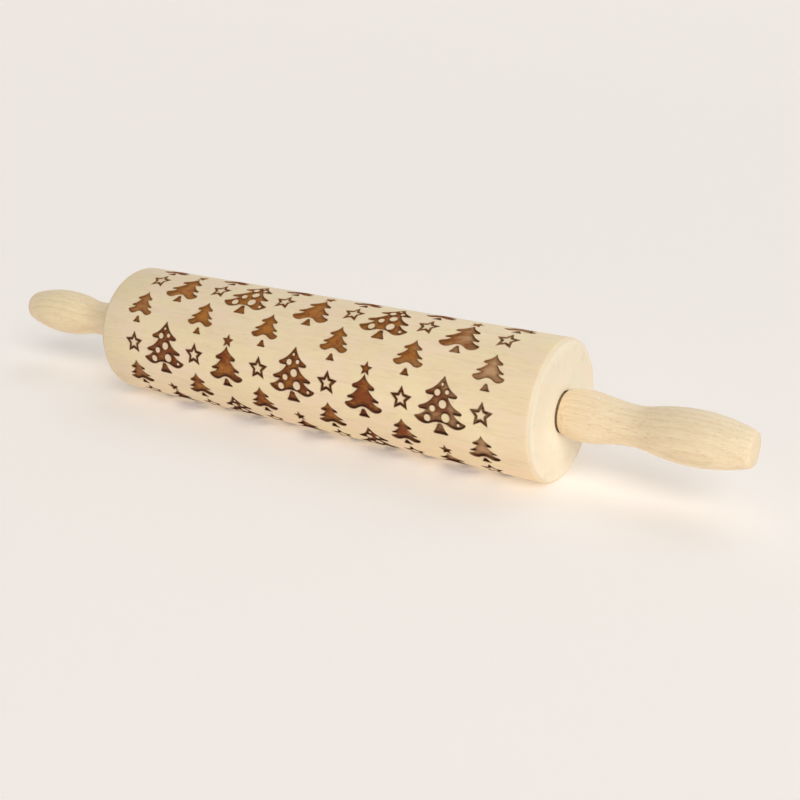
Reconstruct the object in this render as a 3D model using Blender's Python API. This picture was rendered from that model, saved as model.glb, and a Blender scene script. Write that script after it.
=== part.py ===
# Engraved wooden rolling pin. The barrel turns freely on a rod that is glued into two turned grips.
# Metres. X runs along the pin, Z is up, and the pin lies on Z = 0 with its middle over the origin.
# Angles round the barrel start at the top and grow towards -Y, the side that the trees stand up on.

import math

import bmesh
import bpy
from mathutils import Vector, geometry

# Barrel
BARREL_DIAMETER = 0.060
BARREL_LENGTH = 0.231
BARREL_EDGE_RADIUS = 0.0024
BARREL_SIDES = 28
BARREL_EDGE_STEPS = 2
SEAT_DEPTH = 0.020

# Rod and bushes
ROD_DIAMETER = 0.010
ROD_REACH = 0.016
ROD_CHAMFER = 0.0008
BUSH_WALL = 0.0015
BUSH_LENGTH = 0.012
BUSH_FLANGE_THICKNESS = 0.0015
TURNED_SIDES = 20

# Grips
GRIP_LENGTH = 0.078
GRIP_DIAMETER = 0.0222
NECK_DIAMETER = 0.016
NECK_SHOWING = 0.0021
SHOULDER_DIAMETER = 0.0186

# Fits, each measured on the radius or along the axis
NECK_CLEARANCE = 0.0006
FLANGE_CLEARANCE = 0.0006
RUNNING_CLEARANCE = 0.0003
GLUE_GAP = 0.0003
PRESS_GAP = 0.0003
END_FLOAT = 0.0005

# Engraved pattern: rows run along the barrel, columns go round it. Drops are measured round the barrel
# from a row's line, through its stars' centres, towards -Y.
ENGRAVING_DEPTH = 0.0010
ROW_COUNT = 6
STAR_COLUMNS = 6
END_MARGIN = 0.01467
FIRST_ROW_ANGLE = math.radians(17.5)
SEAM_GAP = 0.0042
TREE_FOOT_DROP = 0.0119
SMALL_TREE_FOOT_DROP = 0.0234
SEAM_TRUNK_DROP = 0.0023
DOTTED_TREE_WIDTH = 0.0240
DOTTED_TREE_HEIGHT = 0.0212
PLAIN_TREE_WIDTH = 0.0189
PLAIN_TREE_HEIGHT = 0.0160
SMALL_TREE_WIDTH = 0.01465
SMALL_TREE_HEIGHT = 0.0123
STAR_RADIUS = 0.0054
TOP_STAR_RADIUS = 0.0031
TOP_STAR_GAP = 0.0010
DOT_SIDES = 5
STAR_POINTS = 5

# Closer than this, two mesh points are one; an edge that turns more than this is sharp
MERGE_DISTANCE = 0.000001
SHARP_ANGLE = math.radians(30)

barrel_radius = BARREL_DIAMETER / 2
axis_height = barrel_radius
rod_radius = ROD_DIAMETER / 2
neck_radius = NECK_DIAMETER / 2
seat_radius = neck_radius + NECK_CLEARANCE
bush_bore_radius = rod_radius + RUNNING_CLEARANCE
bush_radius = bush_bore_radius + BUSH_WALL
barrel_bore_radius = bush_radius + PRESS_GAP
flange_radius = seat_radius - FLANGE_CLEARANCE
barrel_end = BARREL_LENGTH / 2
seat_floor = barrel_end - SEAT_DEPTH
flange_face = seat_floor + PRESS_GAP + BUSH_FLANGE_THICKNESS
neck_end = flange_face + END_FLOAT
rod_end = barrel_end + ROD_REACH
circumference = math.tau * barrel_radius
row_pitch = (circumference - SEAM_GAP) / ROW_COUNT
column_pitch = (BARREL_LENGTH - 2 * END_MARGIN - SMALL_TREE_WIDTH) / (STAR_COLUMNS - 1)

# Half outlines from the top down, as shares of a tree's half width and of its height above its base
tree_shares = [
    (0.0, 1.0),
    (0.605, 0.65), (0.27, 0.60),
    (0.855, 0.33), (0.52, 0.30),
    (1.0, 0.14), (0.62, 0.0),
    (0.0, 0.11),
]
trunk_shares = [(0.085, 0.055), (0.285, -0.17)]
small_trunk_shares = [(0.0, 0.085), (0.31, -0.17)]
foot_share = 0.17
# Dots left standing on a dotted tree: across in half widths, up in heights, radius in half widths
dot_shares = [(0.10, 0.465, 0.155), (-0.29, 0.345, 0.12), (0.235, 0.205, 0.17), (-0.475, 0.135, 0.14)]
star_notch_share = 0.53
star_hollow_share = 0.51
top_star_notch_share = 0.47
# A grip's outline past its neck, as shares of its length and of its largest radius
grip_shares = [
    (0.06, 0.92), (0.12, 0.955), (0.18, 0.94), (0.25, 0.86), (0.33, 0.775), (0.40, 0.75), (0.46, 0.79),
    (0.54, 0.90), (0.62, 0.975), (0.70, 1.0), (0.77, 0.98), (0.85, 0.905), (0.92, 0.80), (0.97, 0.70),
    (1.0, 0.58),
]


def clear_scene():
    for obj in list(bpy.data.objects):
        bpy.data.objects.remove(obj, do_unlink=True)


def make_material(name, colour, roughness):
    material = bpy.data.materials.new(name)
    material.use_nodes = True
    shader = material.node_tree.nodes["Principled BSDF"]
    shader.inputs["Base Color"].default_value = (*colour, 1.0)
    shader.inputs["Roughness"].default_value = roughness
    shader.inputs["Metallic"].default_value = 0.0
    return material


def turn_profile(bm, profile, sides):
    """Spin a profile of (x, radius) points round the X axis, with a flat of the polygon underneath."""
    half_step = math.pi / sides
    points = [bm.verts.new((x, -r * math.sin(half_step), r * math.cos(half_step))) for x, r in profile]
    edges = [bm.edges.new(pair) for pair in zip(points, points[1:])]
    bmesh.ops.spin(bm, geom=points + edges, cent=(0, 0, 0), axis=(1, 0, 0), angle=math.tau,
                   steps=sides, use_merge=True)


def finish_object(name, bm, material, place):
    """Close the mesh, shade it smooth between its sharp edges and stand it at its place."""
    bmesh.ops.remove_doubles(bm, verts=bm.verts, dist=MERGE_DISTANCE)
    bmesh.ops.recalc_face_normals(bm, faces=bm.faces)
    mesh = bpy.data.meshes.new(name)
    bm.to_mesh(mesh)
    bm.free()
    mesh.shade_smooth()
    mesh.set_sharp_from_angle(angle=SHARP_ANGLE)
    mesh.materials.append(material)
    obj = bpy.data.objects.new(name, mesh)
    obj.location = place
    bpy.context.collection.objects.link(obj)
    return obj


def mirrored_outline(half_shares, width, height, across, base):
    """Close a half outline on its mirror image, as (x, down) points from the row's line."""
    right = [(share_x * width / 2, base - share_up * height) for share_x, share_up in half_shares]
    left = [(-x, down) for x, down in reversed(right) if x > 0]
    return [(across + x, down) for x, down in right + left]


def star_outline(radius, notch_share, across, down):
    points = []
    for k in range(2 * STAR_POINTS):
        reach = radius * (notch_share if k % 2 else 1.0)
        angle = math.pi * k / STAR_POINTS
        points.append((across + reach * math.sin(angle), down - reach * math.cos(angle)))
    return points


def dot_outline(radius, across, down):
    angles = [math.tau * k / DOT_SIDES for k in range(DOT_SIDES)]
    return [(across + radius * math.cos(a), down + radius * math.sin(a)) for a in angles]


def fir_tree(width, height, across, foot, trunk, trunk_drop=0.0):
    """The outlines of a tree and its trunk, whose foot lies at a drop below the row's line."""
    base = foot - foot_share * height
    return [mirrored_outline(tree_shares, width, height, across, base),
            mirrored_outline(trunk, width, height, across, base + trunk_drop)]


def dotted_tree(across):
    width, height = DOTTED_TREE_WIDTH, DOTTED_TREE_HEIGHT
    base = TREE_FOOT_DROP - foot_share * height
    dots = [dot_outline(radius_share * width / 2, across + share_x * width / 2, base - share_up * height)
            for share_x, share_up, radius_share in dot_shares]
    return fir_tree(width, height, across, TREE_FOOT_DROP, trunk_shares), dots


def plain_tree(across):
    outlines = fir_tree(PLAIN_TREE_WIDTH, PLAIN_TREE_HEIGHT, across, TREE_FOOT_DROP, trunk_shares)
    top = min(down for _, down in outlines[0])
    star_drop = top - TOP_STAR_GAP - top_star_notch_share * TOP_STAR_RADIUS
    outlines.append(star_outline(TOP_STAR_RADIUS, top_star_notch_share, across, star_drop))
    return outlines, []


def small_tree(across, trunk_drop):
    return fir_tree(SMALL_TREE_WIDTH, SMALL_TREE_HEIGHT, across, SMALL_TREE_FOOT_DROP,
                    small_trunk_shares, trunk_drop), []


def hollow_star(across):
    outer = star_outline(STAR_RADIUS, star_notch_share, across, 0.0)
    inner = star_outline(STAR_RADIUS * star_hollow_share, star_notch_share, across, 0.0)
    return [outer], [inner]


def pattern_outlines():
    """Every pocket and every island of the pattern, as (x, distance round the barrel) points."""
    star_places = [(k - (STAR_COLUMNS - 1) / 2) * column_pitch for k in range(STAR_COLUMNS)]
    tree_places = [(a + b) / 2 for a, b in zip(star_places, star_places[1:])]
    pockets, islands = [], []
    for row in range(ROW_COUNT):
        line = barrel_radius * FIRST_ROW_ANGLE + row * row_pitch + (SEAM_GAP if row else 0.0)
        trunk_drop = 0.0 if row else SEAM_TRUNK_DROP
        motifs = [hollow_star(across) for across in star_places]
        motifs += [small_tree(across, trunk_drop) for across in star_places]
        for column, across in enumerate(tree_places):
            motifs.append(dotted_tree(across) if (row + column) % 2 else plain_tree(across))
        for outlines, holes in motifs:
            pockets += [[(x, line + down) for x, down in outline] for outline in outlines]
            islands += [[(x, line + down) for x, down in hole] for hole in holes]
    return pockets, islands


def roll_up(x, around, depth):
    """Place a point of the flat drawing on the barrel's facets, sunk by a depth."""
    angle = around / barrel_radius
    step = math.tau / BARREL_SIDES
    off_middle = angle - round(angle / step) * step
    reach = (barrel_radius - depth) / math.cos(off_middle)
    return x, -reach * math.sin(angle), reach * math.cos(angle)


def cut_flat_drawing():
    """Cut the unrolled side into triangles, and say of each whether it lies in a pocket."""
    side_end = barrel_end - BARREL_EDGE_RADIUS
    facet = circumference / BARREL_SIDES
    first_line = facet / 2
    last_line = first_line + circumference
    points, lines, loops, kinds = [], [], [], []
    for k in range(BARREL_SIDES + 1):
        lines.append((len(points), len(points) + 1))
        points += [Vector((x, first_line + k * facet)) for x in (-side_end, side_end)]
    pockets, islands = pattern_outlines()
    for kind, outlines in (("pocket", pockets), ("island", islands)):
        for outline in outlines:
            # An outline that lies across the first line is drawn across the last one as well
            for shift in (-circumference, 0.0, circumference):
                loop = [Vector((x, around + shift)) for x, around in outline]
                if max(p.y for p in loop) > first_line and min(p.y for p in loop) < last_line:
                    loops.append(list(range(len(points), len(points) + len(loop))))
                    points += loop
                    kinds.append(kind)
    flat_points, _, triangles, _, _, inside = geometry.delaunay_2d_cdt(
        points, lines, loops, 0, MERGE_DISTANCE, True)

    kept, sunk = [], []
    for triangle, found in zip(triangles, inside):
        middle = sum(flat_points[v].y for v in triangle) / len(triangle)
        if first_line < middle < last_line:
            found_kinds = {kinds[i] for i in found}
            kept.append(triangle)
            sunk.append("pocket" in found_kinds and "island" not in found_kinds)
    return flat_points, kept, sunk


def engraved_skin(bm):
    """Roll the flat drawing up, with its pockets sunk and a wall round each."""
    flat_points, triangles, sunk = cut_flat_drawing()
    placed = {}

    def vert(index, depth):
        if (index, depth) not in placed:
            x, around = flat_points[index]
            placed[index, depth] = bm.verts.new(roll_up(x, around, depth))
        return placed[index, depth]

    level_edges, sunk_edges = set(), []
    for triangle, is_sunk in zip(triangles, sunk):
        bm.faces.new([vert(v, ENGRAVING_DEPTH if is_sunk else 0.0) for v in triangle])
        edges = zip(triangle, triangle[1:] + triangle[:1])
        if is_sunk:
            sunk_edges += edges
        else:
            level_edges.update(edges)
    for a, b in sunk_edges:
        if (b, a) in level_edges:
            bm.faces.new([vert(b, ENGRAVING_DEPTH), vert(a, ENGRAVING_DEPTH), vert(a, 0.0), vert(b, 0.0)])


def build_barrel(material):
    bm = bmesh.new()
    engraved_skin(bm)
    profile = [(seat_floor, barrel_bore_radius), (seat_floor, seat_radius), (barrel_end, seat_radius)]
    for k in range(BARREL_EDGE_STEPS + 1):
        angle = math.pi / 2 * k / BARREL_EDGE_STEPS
        profile.append((barrel_end - BARREL_EDGE_RADIUS * (1 - math.sin(math.pi / 2 - angle)),
                        barrel_radius - BARREL_EDGE_RADIUS * (1 - math.sin(angle))))
    mirrored = [(-x, r) for x, r in reversed(profile)]
    flats = math.cos(math.pi / BARREL_SIDES)
    turn_profile(bm, [(x, r / flats) for x, r in mirrored + profile], BARREL_SIDES)
    return finish_object("roller_barrel", bm, material, (0, 0, axis_height))


def build_rod(material):
    chamfered = rod_radius - ROD_CHAMFER
    profile = [(rod_end, 0.0), (rod_end, chamfered), (rod_end - ROD_CHAMFER, rod_radius)]
    bm = bmesh.new()
    turn_profile(bm, profile + [(-x, r) for x, r in reversed(profile)], TURNED_SIDES)
    return finish_object("axle_rod", bm, material, (0, 0, axis_height))


def build_bush(name, side, material):
    bore = bush_bore_radius / math.cos(math.pi / TURNED_SIDES)
    inner_end = seat_floor - BUSH_LENGTH
    profile = [(inner_end, bore), (inner_end, bush_radius), (seat_floor + PRESS_GAP, bush_radius),
               (seat_floor + PRESS_GAP, flange_radius), (flange_face, flange_radius), (flange_face, bore),
               (inner_end, bore)]
    bm = bmesh.new()
    turn_profile(bm, [(side * x, r) for x, r in profile], TURNED_SIDES)
    return finish_object(name, bm, material, (0, 0, axis_height))


def build_grip(name, side, material):
    socket = (rod_radius + GLUE_GAP) / math.cos(math.pi / TURNED_SIDES)
    socket_end = rod_end + GLUE_GAP
    shoulder = barrel_end + NECK_SHOWING
    profile = [(socket_end, 0.0), (socket_end, socket), (neck_end, socket), (neck_end, neck_radius),
               (shoulder, neck_radius), (shoulder, SHOULDER_DIAMETER / 2)]
    profile += [(barrel_end + GRIP_LENGTH * along, GRIP_DIAMETER / 2 * out) for along, out in grip_shares]
    profile.append((barrel_end + GRIP_LENGTH, 0.0))
    bm = bmesh.new()
    turn_profile(bm, [(side * x, r) for x, r in profile], TURNED_SIDES)
    return finish_object(name, bm, material, (0, 0, axis_height))


def main():
    clear_scene()
    maple = make_material("pale_wood", (0.80, 0.63, 0.40), 0.55)
    beech = make_material("beech_wood", (0.74, 0.53, 0.29), 0.5)
    dowel = make_material("dowel_wood", (0.70, 0.50, 0.28), 0.6)
    nylon = make_material("white_nylon", (0.86, 0.85, 0.80), 0.4)
    build_barrel(maple)
    build_rod(dowel)
    for word, side in (("left", -1), ("right", 1)):
        build_bush("bush_" + word, side, nylon)
        build_grip("handle_" + word, side, beech)


main()
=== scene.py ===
import math

import bmesh
import bpy
import numpy as np
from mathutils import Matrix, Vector, geometry, kdtree


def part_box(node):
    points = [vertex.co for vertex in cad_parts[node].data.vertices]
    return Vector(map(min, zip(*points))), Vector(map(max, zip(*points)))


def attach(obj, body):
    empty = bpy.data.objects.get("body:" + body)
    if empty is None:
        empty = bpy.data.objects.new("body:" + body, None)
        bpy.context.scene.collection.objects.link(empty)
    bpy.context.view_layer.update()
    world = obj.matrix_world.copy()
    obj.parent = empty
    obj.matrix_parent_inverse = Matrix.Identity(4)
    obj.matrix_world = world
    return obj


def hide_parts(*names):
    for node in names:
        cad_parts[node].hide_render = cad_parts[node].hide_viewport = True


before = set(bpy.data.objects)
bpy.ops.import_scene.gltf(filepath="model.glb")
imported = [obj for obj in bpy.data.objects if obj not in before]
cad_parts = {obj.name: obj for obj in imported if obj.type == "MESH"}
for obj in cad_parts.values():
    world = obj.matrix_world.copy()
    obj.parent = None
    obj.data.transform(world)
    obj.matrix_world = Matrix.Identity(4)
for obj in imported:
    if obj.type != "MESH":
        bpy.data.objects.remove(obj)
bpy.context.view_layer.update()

mm = 0.001

barrelLow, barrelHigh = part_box("roller_barrel")
axisHeight = (barrelLow.z + barrelHigh.z) / 2
barrelRadius = (barrelHigh.z - barrelLow.z) / 2
barrelEnd = barrelHigh.x
print("frame loaded, barrel", round(barrelRadius * 2 / mm, 1), "x", round(2 * barrelEnd / mm, 1), "mm")


# Shader maths: a wire is a node's output that can be added, multiplied and so on
class Wire:
    def __init__(self, paint, socket):
        self.paint = paint
        self.socket = socket

    def maths(self, operation, first, second=0.0):
        return self.paint.node("ShaderNodeMath", {"operation": operation}, {0: first, 1: second})

    def __add__(self, other):
        return self.maths("ADD", self, other)

    def __radd__(self, other):
        return self.maths("ADD", other, self)

    def __sub__(self, other):
        return self.maths("SUBTRACT", self, other)

    def __rsub__(self, other):
        return self.maths("SUBTRACT", other, self)

    def __mul__(self, other):
        return self.maths("MULTIPLY", self, other)

    def __rmul__(self, other):
        return self.maths("MULTIPLY", other, self)

    def __truediv__(self, other):
        return self.maths("DIVIDE", self, other)

    def __pow__(self, other):
        return self.maths("POWER", self, other)

    def __abs__(self):
        return self.maths("ABSOLUTE", self)

    def fraction(self):
        return self.maths("FRACT", self)


# A material and the few kinds of step that the finishes below are made of
class Paint:
    def __init__(self, name):
        self.material = bpy.data.materials.new(name)
        self.material.use_nodes = True
        self.tree = self.material.node_tree
        self.surface = self.tree.nodes["Principled BSDF"]

    def node(self, kind, settings, inputs, output=0):
        made = self.tree.nodes.new(kind)
        for key, value in settings.items():
            setattr(made, key, value)
        for key, value in inputs.items():
            self.feed(made.inputs[key], value)
        return Wire(self, made.outputs[output])

    def feed(self, socket, value):
        if isinstance(value, Wire):
            self.tree.links.new(value.socket, socket)
        else:
            socket.default_value = value

    # Millimetres from the pin's axis, stretched and moved if asked
    def place(self, stretch=(1, 1, 1), shift=(0, 0, 0)):
        coords = self.node("ShaderNodeTexCoord", {}, {}, "Object")
        scale = [s / mm for s in stretch]
        centre = (shift[0], shift[1], shift[2] - axisHeight * scale[2])
        return self.node("ShaderNodeMapping", {}, {"Vector": coords, "Location": centre, "Scale": scale})

    def split(self, vector):
        parts = self.node("ShaderNodeSeparateXYZ", {}, {0: vector})
        return [Wire(self, socket) for socket in parts.socket.node.outputs]

    def noise(self, stretch, shift, detail, roughness):
        return self.node("ShaderNodeTexNoise", {}, {"Vector": self.place(stretch, shift), "Scale": 1.0,
                                                    "Detail": detail, "Roughness": roughness})

    # 0 at low and 1 at high, held beyond them: ease is smooth at both ends, ramp is straight, and
    # fade is ease held down to a strength. Low and high are counted from the origin
    def ease(self, value, low, high, origin=0.0):
        return self.node("ShaderNodeMapRange", {"interpolation_type": "SMOOTHSTEP"},
                         {"Value": value, "From Min": origin + low, "From Max": origin + high})

    def ramp(self, value, low, high):
        return self.node("ShaderNodeMapRange", {}, {"Value": value, "From Min": low, "From Max": high})

    def fade(self, value, low, high, strength, origin=0.0):
        return self.ease(value, low, high, origin) * strength

    def mix(self, factor, first, second, blend="MIX"):
        return self.node("ShaderNodeMix", {"data_type": "RGBA", "blend_type": blend},
                         {0: factor, 6: first, 7: second}, 2)

    def attribute(self, name):
        return self.node("ShaderNodeAttribute", {"attribute_name": name}, {}, "Fac")

    def bump(self, height, depth, strength):
        return self.node("ShaderNodeBump", {},
                         {"Strength": strength, "Distance": depth, "Height": height})


# A colour as the screen shows it, taken through the sRGB curve to the values that shaders use
def tint(red, green, blue):
    shares = [c / 255 for c in (red, green, blue)]
    return tuple(c / 12.92 if c <= 0.04045 else ((c + 0.055) / 1.055) ** 2.4 for c in shares) + (1.0,)


def startEmpty(name):
    bpy.ops.object.select_all(action="DESELECT")
    piece = bpy.data.objects.new(name, bpy.data.meshes.new(name))
    bpy.context.collection.objects.link(piece)
    piece.select_set(True)
    bpy.context.view_layer.objects.active = piece
    return piece


# A line through knots, round at each knot that isn't marked as a corner
def drawLine(knots, step, closed=False):
    spots = [Vector((k[0], k[1], 0.0)) for k in knots]
    count = len(spots)
    leaving, arriving = [], []
    for i, knot in enumerate(knots):
        before = spots[i - 1] if closed or i else spots[i]
        after = spots[(i + 1) % count] if closed or i < count - 1 else spots[i]
        along = (after - before).normalized()
        corner = len(knot) > 2
        leaving.append((after - spots[i]).normalized() if corner else along)
        arriving.append((spots[i] - before).normalized() if corner else along)
    line = []
    for i in range(count if closed else count - 1):
        j = (i + 1) % count
        length = (spots[j] - spots[i]).length
        pieces = max(1, round(length / step))
        line += geometry.interpolate_bezier(
            spots[i], spots[i] + leaving[i] * length / 3, spots[j] - arriving[j] * length / 3, spots[j],
            pieces + 1)[:pieces]
    if not closed:
        line.append(spots[-1])
    return [(p.x, p.y) for p in line]


# Engraved barrel: the pattern is drawn flat, cut into triangles and rolled up round the axis
engraving = {
    "rows": 6,
    "starColumns": 6,
    "columnPitch": 37.4,        # mm, one star to the next along a row
    "firstRow": 9.15,           # mm round the barrel, from the top to the first row's stars
    "seamGap": 4.2,             # extra space where the artwork's ends meet
    "seamPlace": 30.7,          # mm round the barrel, in a strip that no motif reaches
    "firstTrunkScale": 0.9,     # the first row's trunks are not quite as in the other rows
    "firstTrunkDrop": 0.7,
    "firstSmallTrunkDrop": 1.75,
    "bigTreeDrop": 0.12,        # mm from a row's line to the middle of its big trees
    "smallTreeScale": 0.765,
    "smallTreeDrop": 14.25,
    "starPoints": 5,
    "starRadius": 5.4,
    "starNotch": 0.5,
    "starHollow": 0.52,
    "topStarRadius": 3.15,
    "topStarNotch": 0.47,
    "topStarDrop": -9.4,
    # how light the burn is, from 0 to 1, and what a trunk, a top star and a small tree add to it
    "firstRowTone": 0.78,
    "rowTone": 0.25,
    "toneSpread": 0.09,
    "toneSeed": 5,
    "trunkTone": -0.15,
    "topStarTone": 0.3,
    "smallTreeTone": 0.15,
    "shadowAndScorchSide": (0.75, 0.66),  # the way to the right and lower edges, which are burnt most and carry painted shadow from the near walls
    # the pockets, in mm, and the steps along their outlines
    "depth": 1.0,
    "wallLean": 0.12,
    "outlineStep": 0.55,
    "fewestDotSides": 9,
    # the net of points beside the outlines, and the coarser field of them elsewhere
    "landRing": 0.35,
    "floorRings": (0.45, 1.0),
    "ringKeep": 0.85,           # share of its distance that a ring's point keeps from every outline
    "ringCell": 0.75,           # and the size of the cells that hold one such point each
    "landStep": 2.3,
    "floorStep": 1.15,
    "landClear": 1.3,
    "floorClear": 1.45,
    "rowShare": 0.8,            # in steps: row to row, where a row starts, every other row's shift
    "rowStart": 0.7,
    "rowShift": 0.5,
    "onOutline": 0.001,         # nearer than this, in mm, a point is on an outline
    "farthestGap": 5.0,
    "cutTolerance": 0.00001,
    "seamMerge": 0.01,
    # the ends, the seats for the necks and the bore, in mm
    "roundSteps": 240,
    "endRound": 2.4,
    "endSteps": 8,
    "seatDepth": 20.0,
    "seatRadius": 8.6,
    "mouthChamfer": 0.3,
    "endRings": (0.75, 0.5, 0.25),  # where rings of corners lie on the end face, as shares of its width
    "boreRadius": 7.1,
    "sharpAngle": 32,
}

# Right halves of the outlines, in mm from the middle of the motif, from the top down
dottedTreeHalf = [
    (0.0, -12.75, "corner"), (1.1, -10.9), (2.7, -8.7), (4.4, -7.2), (6.1, -6.2), (7.35, -5.45),
    (7.0, -4.65), (6.0, -4.4), (3.2, -4.4, "corner"), (4.1, -2.9), (5.4, -1.5), (7.1, -0.3), (8.8, 0.45),
    (10.15, 1.25), (9.6, 2.0), (8.6, 2.1), (6.3, 2.15, "corner"), (7.1, 3.0), (8.3, 3.95), (9.7, 4.75),
    (11.2, 5.25), (12.0, 5.65), (11.4, 6.6), (10.2, 7.5), (8.8, 8.15), (7.2, 8.4), (5.6, 8.1),
    (4.0, 7.45), (2.6, 6.85), (0.0, 6.55),
]
dottedTrunkHalf = [
    (0.0, 7.15), (1.0, 7.4), (1.6, 8.8), (2.4, 10.3), (3.45, 11.75), (3.1, 12.1), (0.0, 12.1),
]
# Dots that stand up inside the tree: across, down and radius
dottedTreeDots = [
    (-0.2, -9.3, 0.68), (-1.9, -5.75, 1.42), (2.5, -6.45, 0.98), (1.1, -1.35, 1.8), (-3.5, 1.2, 1.4),
    (2.7, 4.15, 1.97), (-5.9, 5.65, 1.6), (8.6, 6.2, 0.76),
]
plainTreeHalf = [
    (0.0, -7.0, "corner"), (1.1, -5.1), (2.6, -3.65), (4.1, -2.75), (5.5, -1.95), (5.6, -1.15),
    (4.7, -0.75), (2.6, -0.65, "corner"), (3.8, 0.7), (5.2, 2.05), (6.8, 2.95), (8.0, 3.55), (7.7, 4.15),
    (6.8, 4.2), (4.85, 4.2, "corner"), (6.0, 5.2), (7.4, 5.85), (8.9, 6.3), (9.4, 6.85), (8.9, 7.8),
    (7.6, 8.65), (6.0, 9.05), (4.3, 8.8), (2.8, 8.0), (1.4, 7.3), (0.0, 7.05),
]
plainTrunkHalf = [
    (0.0, 8.05), (0.75, 8.35), (1.3, 9.5), (2.0, 10.8), (2.8, 11.7), (2.5, 11.95), (0.0, 11.95),
]


def wholeLoop(half):
    left = [(-knot[0],) + tuple(knot[1:]) for knot in reversed(half) if knot[0] > 0]
    return drawLine(half + left, engraving["outlineStep"], closed=True)


def starLoop(radius, notch, drop=0.0):
    knots = []
    for k in range(2 * engraving["starPoints"]):
        reach = radius * (notch if k % 2 else 1.0)
        angle = math.pi * k / engraving["starPoints"]
        knots.append((reach * math.sin(angle), drop - reach * math.cos(angle), "corner"))
    return drawLine(knots, engraving["outlineStep"], closed=True)


def dotLoop(x, down, radius):
    count = max(engraving["fewestDotSides"], round(math.tau * radius / engraving["outlineStep"]))
    return [(x + radius * math.sin(math.tau * k / count), down - radius * math.cos(math.tau * k / count))
            for k in range(count)]


def placeHalf(half, scale, drop):
    return wholeLoop([(knot[0] * scale, knot[1] * scale + drop) + tuple(knot[2:]) for knot in half])


# Each motif is a list of (closed loop, whether its inside stays standing, how much lighter it is burnt)
def dottedTree(trunkScale, trunkDrop):
    drop = engraving["bigTreeDrop"]
    trunk = placeHalf(dottedTrunkHalf, trunkScale, drop + trunkDrop)
    dots = [(dotLoop(x, down + drop, radius), True, 0.0) for x, down, radius in dottedTreeDots]
    return [(placeHalf(dottedTreeHalf, 1.0, drop), False, 0.0),
            (trunk, False, engraving["trunkTone"])] + dots


def plainTree(trunkScale, trunkDrop):
    drop = engraving["bigTreeDrop"]
    trunk = placeHalf(plainTrunkHalf, trunkScale, drop + trunkDrop)
    star = starLoop(engraving["topStarRadius"], engraving["topStarNotch"],
                    engraving["topStarDrop"] + drop)
    return [(placeHalf(plainTreeHalf, 1.0, drop), False, 0.0), (trunk, False, engraving["trunkTone"]),
            (star, False, engraving["topStarTone"])]


def smallTree(trunkDrop):
    scale, drop = engraving["smallTreeScale"], engraving["smallTreeDrop"]
    return [(placeHalf(plainTreeHalf, scale, drop), False, engraving["smallTreeTone"]),
            (placeHalf(plainTrunkHalf, scale, drop + trunkDrop), False, engraving["trunkTone"])]


def hollowStar():
    radius, notch = engraving["starRadius"], engraving["starNotch"]
    return [(starLoop(radius, notch), False, 0.0),
            (starLoop(radius * engraving["starHollow"], notch), True, 0.0)]


def rowMotifs(trunkScale, trunkDrop, smallTrunkDrop):
    return {"dotted": dottedTree(trunkScale, trunkDrop), "plain": plainTree(trunkScale, trunkDrop),
            "star": hollowStar(), "small": smallTree(smallTrunkDrop)}


# All motifs in their places, as (loop, stands, tone): tone 0 is a dark burn and 1 a light one
def layOutPattern():
    around = math.tau * barrelRadius / mm
    rowPitch = (around - engraving["seamGap"]) / engraving["rows"]
    half = (engraving["starColumns"] - 1) / 2
    rng = np.random.default_rng(engraving["toneSeed"])
    otherMotifs = rowMotifs(1.0, 0.0, 0.0)
    firstMotifs = rowMotifs(engraving["firstTrunkScale"], engraving["firstTrunkDrop"],
                            engraving["firstSmallTrunkDrop"])
    laid = []
    for row in range(engraving["rows"]):
        motifs = otherMotifs if row else firstMotifs
        rowTone = engraving["rowTone"] if row else engraving["firstRowTone"]
        line = engraving["firstRow"] + row * rowPitch + (engraving["seamGap"] if row else around)
        for column in range(2 * engraving["starColumns"] - 1):
            x = (column / 2 - half) * engraving["columnPitch"]
            if column % 2 == 0:
                names = ["star", "small"]
            else:
                names = ["plain" if (row + column // 2) % 2 == 0 else "dotted"]
            for name in names:
                burnt = rowTone + rng.normal(0.0, engraving["toneSpread"])
                for loop, stands, lighter in motifs[name]:
                    placed = np.array(loop) + (x, line)
                    if placed[:, 1].min() > engraving["seamPlace"] + around:
                        placed -= (0, around)
                    laid.append((placed, stands, min(1.0, max(0.0, burnt + lighter))))
    return laid


# The outlines' points, the way from the pocket to the land at each, and their neighbours in the loop
def gatherOutlines(laid):
    spots, outward, before, after, tones, faces, isPocket = [], [], [], [], [], [], []
    for loop, stands, tone in laid:
        turned = np.roll(loop, -1, axis=0)
        if (loop[:, 0] * turned[:, 1] - turned[:, 0] * loop[:, 1]).sum() < 0:
            loop = loop[::-1]
        start, count = len(spots), len(loop)
        along = np.roll(loop, -1, axis=0) - np.roll(loop, 1, axis=0)
        away = np.stack([along[:, 1], -along[:, 0]], axis=1)
        away /= np.linalg.norm(away, axis=1)[:, None]
        spots += list(loop)
        outward += list(-away if stands else away)
        before += [start + (i - 1) % count for i in range(count)]
        after += [start + (i + 1) % count for i in range(count)]
        tones += [tone] * count
        faces.append(list(range(start, start + count)))
        isPocket.append(not stands)
    tree = kdtree.KDTree(len(spots))
    for i, (x, y) in enumerate(spots):
        tree.insert((x, y, 0.0), i)
    tree.balance()
    return {"spots": np.array(spots), "outward": np.array(outward), "before": np.array(before),
            "after": np.array(after), "tones": np.array(tones), "faces": faces, "isPocket": isPocket,
            "tree": tree}


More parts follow.
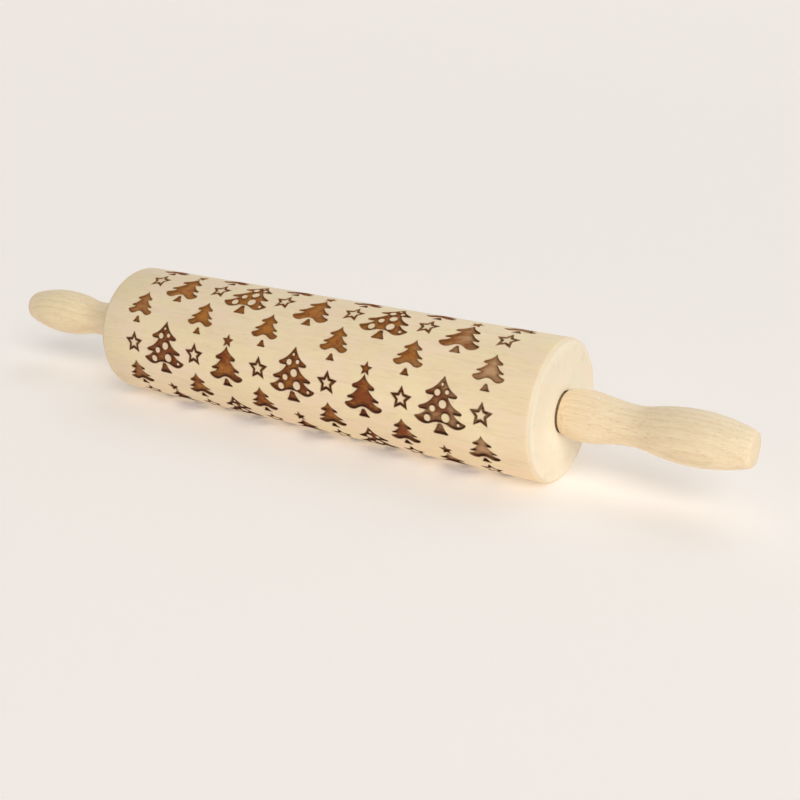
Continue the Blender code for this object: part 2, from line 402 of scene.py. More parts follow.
# For each point: its nearest outline point, and its true distance from the outline
def measureGap(points, outlines):
    spots = outlines["spots"]
    nearest = np.array([outlines["tree"].find((x, y, 0.0))[1] for x, y in points])
    gap = np.full(len(points), np.inf)
    for neighbour in ("before", "after"):
        start, run = spots[nearest], spots[outlines[neighbour][nearest]] - spots[nearest]
        share = ((points - start) * run).sum(1) / np.maximum((run * run).sum(1), 1e-12)
        foot = start + run * np.clip(share, 0, 1)[:, None]
        gap = np.minimum(gap, np.linalg.norm(points - foot, axis=1))
    return nearest, gap


# Points that give the flat drawing an even net: rings beside the outlines, and a coarser field elsewhere
def netPoints(outlines, sideEnd, low, high):
    spots, outward = outlines["spots"], outlines["outward"]
    wanted = [(outward, engraving["landRing"])] + [(-outward, ring) for ring in engraving["floorRings"]]
    net = []
    for way, ring in wanted:
        points = spots + way * ring
        gap = measureGap(points, outlines)[1]
        points = points[gap > ring * engraving["ringKeep"]]
        cells = np.round(points / (ring * engraving["ringCell"])).astype(int)
        kept = np.unique(cells, axis=0, return_index=True)[1]
        net.append(points[np.sort(kept)])
    fields = ((engraving["landStep"], engraving["landClear"], False),
              (engraving["floorStep"], engraving["floorClear"], True))
    for step, clear, onFloor in fields:
        rows = []
        for k, y in enumerate(np.arange(low + step, high - step / 2, step * engraving["rowShare"])):
            inset = step * (engraving["rowStart"] + engraving["rowShift"] * (k % 2))
            x = np.arange(-sideEnd + inset, sideEnd - step / 2, step)
            rows.append(np.stack([x, np.full(len(x), y)], axis=1))
        points = np.concatenate(rows)
        nearest, gap = measureGap(points, outlines)
        inPocket = ((points - spots[nearest]) * outward[nearest]).sum(1) < 0
        net.append(points[(gap > clear) & (inPocket == onFloor)])
    return np.concatenate(net)


# The unrolled side cut into triangles along every outline, and whether each triangle is sunk
def cutDrawing(outlines):
    around = math.tau * barrelRadius / mm
    sideEnd = barrelEnd / mm - engraving["endRound"]
    low = engraving["seamPlace"]
    high = low + around
    net = netPoints(outlines, sideEnd, low, high)
    rim = [(side * sideEnd, low + around * k / engraving["roundSteps"])
           for side in (-1, 1) for k in range(engraving["roundSteps"] + 1)]
    seamCount = round(2 * sideEnd / engraving["landStep"])
    seam = [(-sideEnd + 2 * sideEnd * k / seamCount, y) for y in (low, high) for k in range(1, seamCount)]
    flat = np.concatenate([outlines["spots"], net, np.array(rim), np.array(seam)])
    found = geometry.delaunay_2d_cdt([Vector(p) for p in flat], [], outlines["faces"], 0,
                                     engraving["cutTolerance"], True)
    points, triangles, insideOf = np.array([(p.x, p.y) for p in found[0]]), found[2], found[5]
    sunk = [{outlines["isPocket"][i] for i in inside} == {True} for inside in insideOf]
    print("flat drawing cut:", len(points), "points,", len(triangles), "triangles")
    return points, triangles, sunk


# The drawing rolled up round the axis, with its pockets sunk and a wall round each
def rollUp(shell, outlines):
    points, triangles, sunk = cutDrawing(outlines)
    outward = outlines["outward"]
    nearest, gap = measureGap(points, outlines)
    onOutline = gap < engraving["onOutline"]
    leaned = points - outward[nearest] * engraving["wallLean"] * onOutline[:, None]
    gapLayer = shell.verts.layers.float.new("rimGap")
    toneLayer = shell.verts.layers.float.new("burnTone")
    shadowSideLayer = shell.verts.layers.float.new("rimShadowSide")
    made = {}

    def corner(i, isSunk):
        if (i, isSunk) not in made:
            x, y = leaned[i] if isSunk else points[i]
            reach = barrelRadius / mm - (engraving["depth"] if isSunk else 0.0)
            angle = y * mm / barrelRadius
            vert = shell.verts.new((x * mm, -reach * math.sin(angle) * mm,
                                    axisHeight + reach * math.cos(angle) * mm))
            vert[gapLayer] = min(gap[i], engraving["farthestGap"])
            vert[toneLayer] = outlines["tones"][nearest[i]]
            # which way the rim faces, for painted shadow on the right and lower rims
            vert[shadowSideLayer] = outward[nearest[i]].dot(engraving["shadowAndScorchSide"])
            made[i, isSunk] = vert
        return made[i, isSunk]

    landEdges, floorEdges = set(), []
    for triangle, isSunk in zip(triangles, sunk):
        shell.faces.new([corner(i, isSunk) for i in triangle])
        edges = list(zip(triangle, triangle[1:] + triangle[:1]))
        if isSunk:
            floorEdges += edges
        else:
            landEdges.update(edges)
    for a, b in floorEdges:
        if (b, a) in landEdges:
            shell.faces.new([corner(b, True), corner(a, True), corner(a, False), corner(b, False)])
    bmesh.ops.remove_doubles(shell, verts=[v for v in shell.verts if v.is_boundary],
                             dist=engraving["seamMerge"] * mm)


# Both ends: the edge rounded over, then the end face, the seat for the neck and the bore
def closeEnds(shell):
    sizes = ("endRound", "seatRadius", "mouthChamfer", "seatDepth", "boreRadius")
    bend, seat, chamfer, depth, bore = [engraving[name] * mm for name in sizes]
    profile = []
    for k in range(1, engraving["endSteps"] + 1):
        turn = math.pi / 2 * k / engraving["endSteps"]
        profile.append((barrelEnd - bend * (1 - math.sin(turn)),
                        barrelRadius - bend * (1 - math.cos(turn))))
    profile += [(barrelEnd, seat + (barrelRadius - bend - seat) * share)
                for share in engraving["endRings"]]
    profile += [(barrelEnd, seat + chamfer), (barrelEnd - chamfer, seat), (barrelEnd - depth, seat),
                (barrelEnd - depth, bore)]
    loops = []
    for side in (-1, 1):
        loop = [e for e in shell.edges if e.is_boundary and e.verts[0].co.x * side > 0]
        for x, reach in profile:
            grown = bmesh.ops.extrude_edge_only(shell, edges=loop)["geom"]
            loop = [g for g in grown if isinstance(g, bmesh.types.BMEdge)]
            for vert in (g for g in grown if isinstance(g, bmesh.types.BMVert)):
                across = Vector((vert.co.y, vert.co.z - axisHeight)).normalized() * reach
                vert.co = (side * x, across.x, axisHeight + across.y)
        loops += loop
    bmesh.ops.bridge_loops(shell, edges=loops)


def buildBarrel():
    shell = bmesh.new()
    rollUp(shell, gatherOutlines(layOutPattern()))
    closeEnds(shell)
    bmesh.ops.recalc_face_normals(shell, faces=shell.faces)
    piece = startEmpty("engraved_barrel")
    shell.to_mesh(piece.data)
    shell.free()
    bpy.ops.object.shade_smooth_by_angle(angle=math.radians(engraving["sharpAngle"]))
    return piece


barrel = buildBarrel()
print("barrel built:", len(barrel.data.polygons), "faces")


# Turned pieces: half a profile is drawn beside the axis and spun round it
turning = {"merge": 0.002, "sharpAngle": 40}    # mm and degrees


def turnPiece(name, profile, steps):
    piece = startEmpty(name)
    corners = [(x * mm, 0.0, axisHeight + reach * mm) for x, reach in profile]
    piece.data.from_pydata(corners, [(k, k + 1) for k in range(len(corners) - 1)], [])
    bpy.ops.object.mode_set(mode="EDIT")
    bpy.ops.mesh.select_all(action="SELECT")
    bpy.ops.mesh.spin(steps=steps, angle=math.tau, center=(0, 0, axisHeight), axis=(1, 0, 0))
    bpy.ops.mesh.select_all(action="SELECT")
    bpy.ops.mesh.remove_doubles(threshold=turning["merge"] * mm)
    bpy.ops.mesh.dissolve_degenerate(threshold=turning["merge"] * mm)
    bpy.ops.mesh.normals_make_consistent(inside=False)
    bpy.ops.object.mode_set(mode="OBJECT")
    bpy.ops.object.shade_smooth_by_angle(angle=math.radians(turning["sharpAngle"]))
    return piece


def mirrorPiece(piece, name):
    bpy.ops.object.select_all(action="DESELECT")
    piece.select_set(True)
    bpy.context.view_layer.objects.active = piece
    bpy.ops.object.duplicate()
    copy = bpy.context.active_object
    copy.name = name
    bpy.ops.object.mode_set(mode="EDIT")
    bpy.ops.mesh.select_all(action="SELECT")
    bpy.ops.transform.resize(value=(-1, 1, 1), center_override=(0, 0, axisHeight))
    bpy.ops.mesh.normals_make_consistent(inside=False)
    bpy.ops.object.mode_set(mode="OBJECT")
    return copy


grip = {
    # places along the pin from its middle, lengths and radii, in mm
    "socketEnd": 131.8,
    "socketRadius": 5.3,
    "neckEnd": 97.8,
    "neckRadius": 8.0,
    "neckEdge": 0.5,
    "neckShowing": 0.8,
    "shoulderFrom": 8.35,       # radius where the round shoulder starts, and the one that it reaches
    "shoulderRadius": 9.3,
    "shoulderLength": 1.3,
    "shoulderSteps": 6,
    "roundSteps": 112,
    "step": 1.2,
    # mm from the barrel's end, and the radius there
    "outline": [(4.7, 10.2), (9.4, 10.6), (14.0, 10.43), (19.5, 9.55), (25.7, 8.6), (31.2, 8.32),
                (35.9, 8.77), (42.1, 10.0), (48.4, 10.82), (54.6, 11.1), (60.1, 10.88), (66.3, 10.05),
                (71.8, 8.88), (75.7, 7.75), (77.2, 7.2), (77.85, 6.7), (78.0, 6.2)],
}


def gripProfile():
    end, radius, edge = barrelEnd / mm, grip["neckRadius"], grip["neckEdge"]
    shoulder, length = end + grip["neckShowing"], grip["shoulderLength"]
    rise = grip["shoulderRadius"] - grip["shoulderFrom"]
    neck = [(grip["socketEnd"], 0.0), (grip["socketEnd"], grip["socketRadius"]),
            (grip["neckEnd"], grip["socketRadius"]), (grip["neckEnd"], radius - edge),
            (grip["neckEnd"] + edge, radius), (shoulder, radius)]
    for k in range(grip["shoulderSteps"]):
        turn = math.pi / 2 * k / grip["shoulderSteps"]
        reach = grip["shoulderFrom"] + rise * math.sin(turn)
        neck.append((shoulder + length * (1 - math.cos(turn)), reach))
    shape = [(shoulder + length, grip["shoulderRadius"])]
    shape += [(end + along, reach) for along, reach in grip["outline"]]
    return neck + drawLine(shape, grip["step"]) + [(end + grip["outline"][-1][0], 0.0)]


gripRight = turnPiece("grip_right", gripProfile(), grip["roundSteps"])
gripLeft = mirrorPiece(gripRight, "grip_left")

# Places along the pin from its middle, and radii, in mm
rod = {"end": 131.5, "radius": 5.0, "chamfer": 0.8, "roundSteps": 64}
rodProfile = [(rod["end"], 0.0), (rod["end"], rod["radius"] - rod["chamfer"]),
              (rod["end"] - rod["chamfer"], rod["radius"])]
axle = turnPiece("dowel_rod", rodProfile + [(-x, r) for x, r in reversed(rodProfile)], rod["roundSteps"])

bush = {"innerEnd": 83.5, "flangeBack": 95.8, "flangeFace": 97.3, "boreRadius": 5.3, "radius": 6.8,
        "flangeRadius": 8.0, "edge": 0.3, "roundSteps": 72}
bushProfile = [
    (bush["innerEnd"], bush["boreRadius"]), (bush["innerEnd"], bush["radius"] - bush["edge"]),
    (bush["innerEnd"] + bush["edge"], bush["radius"]), (bush["flangeBack"], bush["radius"]),
    (bush["flangeBack"], bush["flangeRadius"]), (bush["flangeFace"] - bush["edge"], bush["flangeRadius"]),
    (bush["flangeFace"], bush["flangeRadius"] - bush["edge"]), (bush["flangeFace"], bush["boreRadius"]),
    (bush["innerEnd"], bush["boreRadius"]),
]
bushRight = turnPiece("flanged_bush_right", bushProfile, bush["roundSteps"])
bushLeft = mirrorPiece(bushRight, "flanged_bush_left")
print("turned pieces built")


# Wood grain through the solid: growth rings round a pith, fibres, flecks and broad patches
grainLook = {
    # each field of noise: its stretch along, across and up, its detail and its roughness
    "noise": {
        "wander": ((0.011, 0.035, 0.035), 2.0, 0.5),
        "sway": ((0.02, 0.16, 0.16), 1.0, 0.5),
        "fibres": ((0.055, 1.15, 1.15), 3.0, 0.6),
        "fine": ((0.16, 3.4, 3.4), 2.0, 0.55),
        "patches": ((0.018, 0.05, 0.05), 2.0, 0.5),
    },
    "ringSharpness": 2.5,
    "ringTurn": 0.9,            # share of a ring's width where its dark line starts to fall off
    "fleckDetail": 0.0,
    "fleckRoughness": 0.5,
    "fleckSoftness": 0.07,
    # where in its noise each layer of colour starts and is full
    "patchRange": (0.36, 0.66),
    "streakRange": (0.42, 0.7),
    "fineRange": (0.5, 0.8),
    "paleRange": (0.52, 0.3),
}


def woodGrain(paint, look):
    noise = {name: paint.noise(stretch, look["shift"], detail, roughness)
             for name, (stretch, detail, roughness) in grainLook["noise"].items()}
    x, y, z = paint.split(paint.place())
    offY, offZ = y - look["pith"][0], z - look["pith"][1]
    reach = (offY * offY + offZ * offZ) ** 0.5 + x * look["taper"]
    reach = reach + (noise["wander"] - 0.5) * look["wander"] + (noise["sway"] - 0.5) * look["sway"]
    phase = (reach / look["ringWidth"]).fraction()
    rings = phase ** grainLook["ringSharpness"] * (1 - paint.ease(phase, grainLook["ringTurn"], 1.0))
    specks = paint.noise(look["fleckStretch"], look["shift"], grainLook["fleckDetail"],
                         grainLook["fleckRoughness"])
    flecks = paint.ease(specks, look["fleckFrom"], look["fleckFrom"] + grainLook["fleckSoftness"])
    fibres, fine = noise["fibres"], noise["fine"]
    patches = paint.ease(noise["patches"], *grainLook["patchRange"])
    colour = paint.mix(patches, look["light"], look["patch"])
    colour = paint.mix(rings * look["ringStrength"], colour, look["ring"])
    colour = paint.mix(paint.fade(fibres, *grainLook["streakRange"], look["streakStrength"]),
                       colour, look["streak"])
    colour = paint.mix(paint.fade(fine, *grainLook["fineRange"], look["fineStrength"]),
                       colour, look["streak"])
    colour = paint.mix(paint.fade(fibres, *grainLook["paleRange"], look["paleStrength"]),
                       colour, look["pale"])
    colour = paint.mix(flecks * look["fleckStrength"], colour, look["fleck"])
    return {"x": x, "y": y, "z": z, "colour": colour, "rings": rings, "fibres": fibres, "fine": fine,
            "flecks": flecks}


# Colour, roughness and relief of a wooden piece, with what its carving adds to the last two
def finishWood(paint, look, wood, colour, carvedRoughness=0.0, carvedRelief=0.0):
    roughness = look["roughness"] + carvedRoughness + (wood["fine"] - 0.5) * look["fineRoughness"]
    height = wood["fibres"] * look["fibreRelief"] + wood["fine"] * look["fineRelief"]
    height = height - wood["flecks"] * look["fleckRelief"] + carvedRelief
    inputs = paint.surface.inputs
    paint.feed(inputs["Base Color"], colour)
    paint.feed(inputs["Roughness"], roughness)
    paint.feed(inputs["Normal"], paint.bump(height, look["reliefDepth"] * mm, look["reliefStrength"]))
    inputs["Specular IOR Level"].default_value = look["specular"]
    return paint.material


# In every look a range is (start, full) and a fade is (start, full, strength)
barrelLook = {
    "shift": (3.0, 7.0, 1.0), "pith": (38.0, -21.0), "wander": 16.0, "sway": 1.6, "taper": 0.02,
    "ringWidth": 4.2, "ringStrength": 0.2, "streakStrength": 0.24, "fineStrength": 0.16,
    "paleStrength": 0.3, "fleckStretch": (0.22, 2.3, 2.3), "fleckFrom": 0.68, "fleckStrength": 0.22,
    "light": tint(248, 226, 187), "patch": tint(244, 221, 181), "ring": tint(229, 203, 161),
    "streak": tint(232, 207, 167), "pale": tint(251, 236, 203), "fleck": tint(217, 187, 144),
    "roughness": 0.46, "fineRoughness": 0.12, "specular": 0.3, "reliefDepth": 0.06,
    "reliefStrength": 0.6, "fibreRelief": 0.35, "fineRelief": 0.3, "fleckRelief": 0.3,
    # more noise, as stretch, shift, detail and roughness
    "hue": ((0.05, 0.12, 0.12), (6.0, 1.0, 8.0), 3.0, 0.6),
    "smear": ((0.07, 0.45, 0.45), (1.0, 4.0, 2.0), 2.0, 0.5),
    "blot": ((0.05, 0.16, 0.16), (2.0, 5.0, 3.0), 3.0, 0.6),
    "cloud": ((0.13, 0.22, 0.22), (0.0, 0.0, 0.0), 3.0, 0.55),
    "mottle": ((0.45, 0.9, 0.9), (0.0, 0.0, 0.0), 2.0, 0.5),
    # faint tints of the wood, the left end a little darker, and painted shade for the dimmer, cooler
    # light towards the far end, in mm along the pin
    "blush": tint(248, 222, 192), "blushFade": (0.48, 0.64, 0.6),
    "straw": tint(246, 227, 181), "strawFade": (0.5, 0.36, 0.6), "smearFade": (0.56, 0.75, 0.4),
    "farEndShade": (0.895, 0.9, 0.925, 1.0), "farEndShadeRange": (120.0, -125.0),
    "leftEnd": (0.94, 0.95, 0.93, 1.0), "leftEndRange": (-88.0, -112.0),
    # end faces: the painted light round the seat in mm from the axis, the painted shade on the rim and
    # the whole face in mm from the end
    "endGrain": tint(240, 229, 205), "endRingAndRimShade": tint(223, 206, 178), "endPaintedLight": tint(249, 241, 218),
    "endRingStrength": 0.16, "endBlotFade": (0.5, 0.7, 0.35), "endBlushFade": (0.5, 0.3, 0.5),
    "endPaintedLightFade": (24.0, 9.0, 0.7), "endRimShadeFade": (-0.05, -0.7, 0.7), "endFade": (-1.9, -0.9, 0.92),
    # where the burnt floors lie, in mm from the skin and from the end
    "carvedTop": (-0.03, -0.2), "carvedBottom": (-3.5, -3.2), "carvedEnd": (-4.0, -4.5),
    "carvedRoughness": 0.3, "carvedRelief": 1.5,
    # the burn: colours, what makes it warmer, greyer and darker, the painted shadow on the right and
    # lower rims, and the scorched rim on the land
    "brown": tint(130, 64, 24), "amber": tint(170, 110, 46), "grey": tint(194, 156, 116),
    "charAndShadow": tint(66, 30, 8), "lightChar": tint(128, 82, 36), "scorch": tint(128, 80, 36),
    "leastWarmth": 0.1, "toneWarmth": 0.8, "cloudWarmth": 2.6, "mottleWarmth": 1.6,
    "rightGreyFade": (50.0, 95.0, 0.85), "rightGreySpread": 90.0, "leftGreyFade": (-60.0, -110.0, 0.25),
    "litSidePaleFade": (1.0, -1.0, 0.4), "shadowSideReach": 0.15, "mottleReach": 1.1,
    "charRange": (0.1, 2.1), "charFalloff": 0.9, "charFibreFade": (0.45, 0.7, 0.22),
    "shadowAndBurnSideRange": (0.0, 0.9), "shadowAndBurnRimRange": (0.2, 0.8), "shadowAndBurnRimStrength": 0.8,
    "scorchRange": (0.0, 0.4), "scorchMost": 0.75, "scorchToneLoss": 0.35,
}


def tintWood(paint, look, colour):
    hue, smear = paint.noise(*look["hue"]), paint.noise(*look["smear"])
    colour = paint.mix(paint.fade(hue, *look["blushFade"]), colour, look["blush"])
    colour = paint.mix(paint.fade(hue, *look["strawFade"]), colour, look["straw"])
    return paint.mix(paint.fade(smear, *look["smearFade"]), colour, look["streak"])


# End grain, paler towards the middle with painted light, and darker on the rounded edge and at the seat's
# mouth with painted shade
def addEndGrain(paint, look, colour, rings, across, reach, end):
    blot = paint.noise(*look["blot"])
    darker = rings * look["endRingStrength"] + paint.fade(blot, *look["endBlotFade"])
    face = paint.mix(darker, look["endGrain"], look["endRingAndRimShade"])
    face = paint.mix(paint.fade(blot, *look["endBlushFade"]), face, look["blush"])
    # painted light: paler towards the middle, lifting the shade round the seat
    face = paint.mix(paint.fade(reach, *look["endPaintedLightFade"]), face, look["endPaintedLight"])
    # painted shade: darker on the rounded edge and at the seat's mouth, dimming the edge's highlight
    face = paint.mix(paint.fade(across, *look["endRimShadeFade"], end), face, look["endRingAndRimShade"])
    return paint.mix(paint.fade(across, *look["endFade"], end), colour, face)


# The floor of the pockets: clouds of brown and amber, grey near the ends, and char along the rims, with
# painted shadow that darkens the right and lower rims and painted light that pales the char on the left
# and upper rims
def burntFloor(paint, look, x, fibres, mottle, gap, tone, side):
    cloud = paint.noise(*look["cloud"])
    warmth = tone * look["toneWarmth"] + look["leastWarmth"] + (cloud - 0.5) * look["cloudWarmth"]
    warmth = paint.ease(warmth + (mottle - 0.5) * look["mottleWarmth"], 0.0, 1.0)
    floor = paint.mix(warmth, look["brown"], look["amber"])
    greyness = paint.fade(x + (cloud - 0.5) * look["rightGreySpread"], *look["rightGreyFade"])
    greyness = greyness + paint.fade(x, *look["leftGreyFade"])
    floor = paint.mix(greyness, floor, look["grey"])
    charAndShadow = paint.mix(tone, look["charAndShadow"], look["lightChar"])
    # painted light: the char paler along the left and upper rims, whose walls are lit
    charAndShadow = paint.mix(paint.fade(side, *look["litSidePaleFade"]), charAndShadow, floor)
    # painted shadow: the burn reaches further in from the right and lower rims
    inwards = gap - side * look["shadowSideReach"] + (mottle - 0.5) * look["mottleReach"]
    burn = 1 - paint.ramp(inwards, *look["charRange"]) ** look["charFalloff"]
    floor = paint.mix(burn, floor, charAndShadow)
    floor = paint.mix(paint.fade(fibres, *look["charFibreFade"]), floor, charAndShadow)
    # painted shadow with char: a dark line along the right and lower rims
    edge = paint.ease(side, *look["shadowAndBurnSideRange"]) * (1 - paint.ramp(gap, *look["shadowAndBurnRimRange"]))
    return paint.mix(edge * look["shadowAndBurnRimStrength"], floor, look["charAndShadow"])


def paintBarrel():
    look = barrelLook
    paint = Paint("pale_wood_engraved")
    wood = woodGrain(paint, look)
    x, y, z = wood["x"], wood["y"], wood["z"]
    across, reach = abs(x), (y * y + z * z) ** 0.5
    radius, end = barrelRadius / mm, barrelEnd / mm
    colour = tintWood(paint, look, wood["colour"])
    colour = addEndGrain(paint, look, colour, wood["rings"], across, reach, end)
    # painted shade: dimmer and cooler towards the far end, where the light falls off
    colour = paint.mix(paint.ease(x, *look["farEndShadeRange"]), colour, look["farEndShade"], "MULTIPLY")
    colour = paint.mix(paint.ease(x, *look["leftEndRange"]), colour, look["leftEnd"], "MULTIPLY")

    carved = paint.ease(reach, *look["carvedTop"], radius)
    carved = carved * paint.ease(reach, *look["carvedBottom"], radius)
    carved = carved * paint.ease(across, *look["carvedEnd"], end)
    gap, tone, side = [paint.attribute(name) for name in ("rimGap", "burnTone", "rimShadowSide")]
    mottle = paint.noise(*look["mottle"])
    floor = burntFloor(paint, look, x, wood["fibres"], mottle, gap, tone, side)
    scorch = 1 - paint.ramp(gap, *look["scorchRange"])
    scorch = scorch * (look["scorchMost"] - tone * look["scorchToneLoss"])
    colour = paint.mix(scorch, colour, look["scorch"])
    colour = paint.mix(carved, colour, floor)
    return finishWood(paint, look, wood, colour, carved * look["carvedRoughness"],
                      carved * mottle * look["carvedRelief"])


gripLook = {
    "shift": (11.0, 2.0, 5.0), "pith": (-42.0, -17.0), "wander": 7.0, "sway": 1.0, "taper": -0.02,
    "ringWidth": 2.7, "ringStrength": 0.45, "streakStrength": 0.3, "fineStrength": 0.25,
    "paleStrength": 0.25, "fleckStretch": (0.3, 3.0, 3.0), "fleckFrom": 0.66, "fleckStrength": 0.28,
    "light": tint(243, 224, 188), "patch": tint(240, 218, 182), "ring": tint(223, 196, 155),
    "streak": tint(224, 196, 156), "pale": tint(247, 232, 201), "fleck": tint(188, 153, 114),
    "roughness": 0.43, "fineRoughness": 0.15, "specular": 0.35, "reliefDepth": 0.06,
    "reliefStrength": 0.6, "fibreRelief": 0.35, "fineRelief": 0.3, "fleckRelief": 0.5,
    # painted shade: dimmer and cooler towards the far end, where the light falls off
    "farEndShade": (0.96, 0.96, 0.92, 1.0), "farEndShadeRange": (120.0, -125.0),
    # painted shade in the dark gap round the neck, in mm out from the barrel's end
    "neckShade": tint(168, 140, 104), "neckShadeFade": (1.3, 0.8, 0.5),
    "creviceShade": tint(132, 104, 68), "creviceShadeFade": (0.9, 0.7, 0.85),
}


def paintGrip():
    look = gripLook
    paint = Paint("beech_wood_sanded")
    wood = woodGrain(paint, look)
    across, end = abs(wood["x"]), barrelEnd / mm
    # painted shade: dimmer and cooler towards the far end, where the light falls off
    colour = paint.mix(paint.ease(wood["x"], *look["farEndShadeRange"]), wood["colour"], look["farEndShade"],
                       "MULTIPLY")
    # painted shade in the gap round the neck, darkest inside the seat
    colour = paint.mix(paint.fade(across, *look["neckShadeFade"], end), colour, look["neckShade"])
    colour = paint.mix(paint.fade(across, *look["creviceShadeFade"], end), colour, look["creviceShade"])
    return finishWood(paint, look, wood, colour)


rodLook = {
    "shift": (1.0, 9.0, 4.0), "pith": (3.0, -14.0), "wander": 6.0, "sway": 0.8, "taper": 0.01,
    "ringWidth": 2.4, "ringStrength": 0.35, "streakStrength": 0.4, "fineStrength": 0.3,
    "paleStrength": 0.2, "fleckStretch": (0.35, 3.2, 3.2), "fleckFrom": 0.64, "fleckStrength": 0.5,
    "light": tint(228, 198, 154), "patch": tint(222, 189, 143), "ring": tint(196, 158, 112),
    "streak": tint(202, 167, 121), "pale": tint(238, 212, 172), "fleck": tint(168, 128, 84),
    "roughness": 0.58, "fineRoughness": 0.15, "specular": 0.5, "reliefDepth": 0.08,
    "reliefStrength": 0.6, "fibreRelief": 0.5, "fineRelief": 0.3, "fleckRelief": 0.0,
}


def paintRod():
    paint = Paint("dowel_wood_planed")
    wood = woodGrain(paint, rodLook)
    return finishWood(paint, rodLook, wood, wood["colour"])


bushLook = {
    "cloud": ((0.2, 0.2, 0.2), (0.0, 0.0, 0.0), 2.0, 0.5), "cloudRange": (0.35, 0.65),
    "grit": ((6.0, 6.0, 6.0), (0.0, 0.0, 0.0), 2.0, 0.5), "gritRoughness": 0.12,
    "white": tint(240, 238, 228), "shaded": tint(232, 229, 217),
    "roughness": 0.36, "reliefDepth": 0.01, "reliefStrength": 0.5,
}


def paintBush():
    look = bushLook
    paint = Paint("white_nylon_moulded")
    cloud, grit = paint.noise(*look["cloud"]), paint.noise(*look["grit"])
    colour = paint.mix(paint.ease(cloud, *look["cloudRange"]), look["white"], look["shaded"])
    inputs = paint.surface.inputs
    paint.feed(inputs["Base Color"], colour)
    paint.feed(inputs["Roughness"], look["roughness"] + grit * look["gritRoughness"])
    paint.feed(inputs["Normal"], paint.bump(grit, look["reliefDepth"] * mm, look["reliefStrength"]))
    return paint.material


gripPaint, bushPaint = paintGrip(), paintBush()
dressed = [
    (barrel, paintBarrel(), "pale_wood", "barrel", "roller_barrel"),
    (gripRight, gripPaint, "beech_wood", "handles", "handle_right"),
    (gripLeft, gripPaint, "beech_wood", "handles", "handle_left"),
    (axle, paintRod(), "dowel_wood", "handles", "axle_rod"),
    (bushRight, bushPaint, "white_nylon", "barrel", "bush_right"),
    (bushLeft, bushPaint, "white_nylon", "barrel", "bush_left"),
]
for piece, material, slot, body, node in dressed:
    piece.data.materials.clear()
    piece.data.materials.append(material)
    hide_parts(node)
    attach(piece, body)
print("pieces painted and riding")


# Pale floor, soft light and the photograph's viewpoint
studio = {
    "floorSize": 60.0,
    "floorColour": tint(234, 229, 224),
    # the table gives back light from the rest of the room, to the camera and a little more to the pin
    "glowSeen": tint(131, 126, 121),
    "glowGiven": tint(153, 147, 141),
    "floorRoughness": 0.9,
    "floorSpecular": 0.1,
    "backColour": tint(238, 233, 228),
    "skyColour": (1.0, 1.0, 1.0, 1.0),
    "skyStrength": 0.05,
    # name, strength, width in degrees, where it comes from
    "suns": [("key_light", 1.87, 40, (0.62, -0.55, 0.5)), ("high_light", 0.29, 60, (0.1, -0.6, 0.8)),
             ("top_light", 0.5, 60, (0.2, 0.3, 0.93)), ("back_light", 0.72, 60, (0.0, 0.75, 0.66))],
    "sideBox": {"power": 0.7, "size": 0.5, "place": (0.8, -0.5, 0.45)},
    # camera: the lens and the sensor's width in mm, and where it looks from, in mm and degrees
    "lens": 54.34,
    "sensorWidth": 36.0,
    "nearest": 10.0,
    "focus": (36.6, 0.0, 20.0),
    "distance": 531.0,
    "yaw": 32.84,
    "pitch": 19.23,
}

bpy.ops.object.select_all(action="DESELECT")
bpy.ops.mesh.primitive_plane_add(size=studio["floorSize"], location=(0, 0, 0))
floor = bpy.context.active_object
floor.name = "studio_floor"
floorPaint = Paint("pale_table")
floorInputs = floorPaint.surface.inputs
floorInputs["Base Color"].default_value = studio["floorColour"]
seen = floorPaint.node("ShaderNodeLightPath", {}, {}, "Is Camera Ray")
glow = floorPaint.mix(seen, studio["glowGiven"], studio["glowSeen"])
floorPaint.feed(floorInputs["Emission Color"], glow)
floorInputs["Emission Strength"].default_value = 1.0
floorInputs["Roughness"].default_value = studio["floorRoughness"]
floorInputs["Specular IOR Level"].default_value = studio["floorSpecular"]
floor.data.materials.append(floorPaint.material)

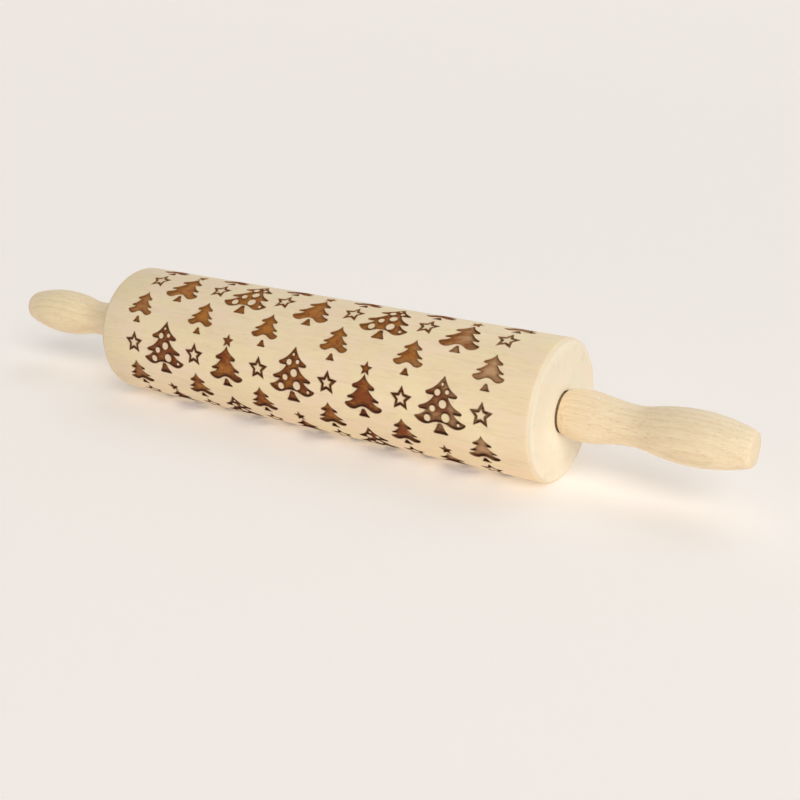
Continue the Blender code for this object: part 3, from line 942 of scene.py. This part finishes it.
# The camera and reflections see a warm backdrop, and the pin is lit by the white sky
world = bpy.data.worlds.new("soft_studio")
bpy.context.scene.world = world
world.use_nodes = True
links, nodes = world.node_tree.links, world.node_tree.nodes
sky = nodes["Background"]
sky.inputs["Color"].default_value = studio["skyColour"]
sky.inputs["Strength"].default_value = studio["skyStrength"]
back = nodes.new("ShaderNodeBackground")
back.inputs["Color"].default_value = studio["backColour"]
rays = nodes.new("ShaderNodeLightPath")
choose = nodes.new("ShaderNodeMixShader")
seenDirectly = nodes.new("ShaderNodeMath")
seenDirectly.operation = "MAXIMUM"
links.new(rays.outputs["Is Camera Ray"], seenDirectly.inputs[0])
links.new(rays.outputs["Is Glossy Ray"], seenDirectly.inputs[1])
links.new(seenDirectly.outputs[0], choose.inputs[0])
links.new(sky.outputs[0], choose.inputs[1])
links.new(back.outputs[0], choose.inputs[2])
links.new(choose.outputs[0], nodes["World Output"].inputs["Surface"])


def addLight(kind, name, power, place):
    bpy.ops.object.light_add(type=kind, location=place)
    lamp = bpy.context.active_object
    lamp.name = name
    lamp.data.energy = power
    lamp.rotation_euler = Vector(place).to_track_quat("Z", "Y").to_euler()
    return lamp.data


for name, strength, width, source in studio["suns"]:
    addLight("SUN", name, strength, source).angle = math.radians(width)
sideBox = studio["sideBox"]
addLight("AREA", "side_box", sideBox["power"], sideBox["place"]).size = sideBox["size"]

pitch, yaw = math.radians(studio["pitch"]), math.radians(studio["yaw"])
focus = Vector(studio["focus"]) * mm
backwards = Vector((math.sin(yaw) * math.cos(pitch), -math.cos(yaw) * math.cos(pitch), math.sin(pitch)))
bpy.ops.object.camera_add(location=focus + backwards * studio["distance"] * mm,
                          rotation=(math.pi / 2 - pitch, 0.0, yaw))
camera = bpy.context.active_object
camera.name = "photo_camera"
camera.data.lens = studio["lens"]
camera.data.sensor_width = studio["sensorWidth"]
camera.data.clip_start = studio["nearest"] * mm
bpy.context.scene.camera = camera
bpy.context.scene.view_settings.view_transform = "Standard"
print("floor, light and camera placed")
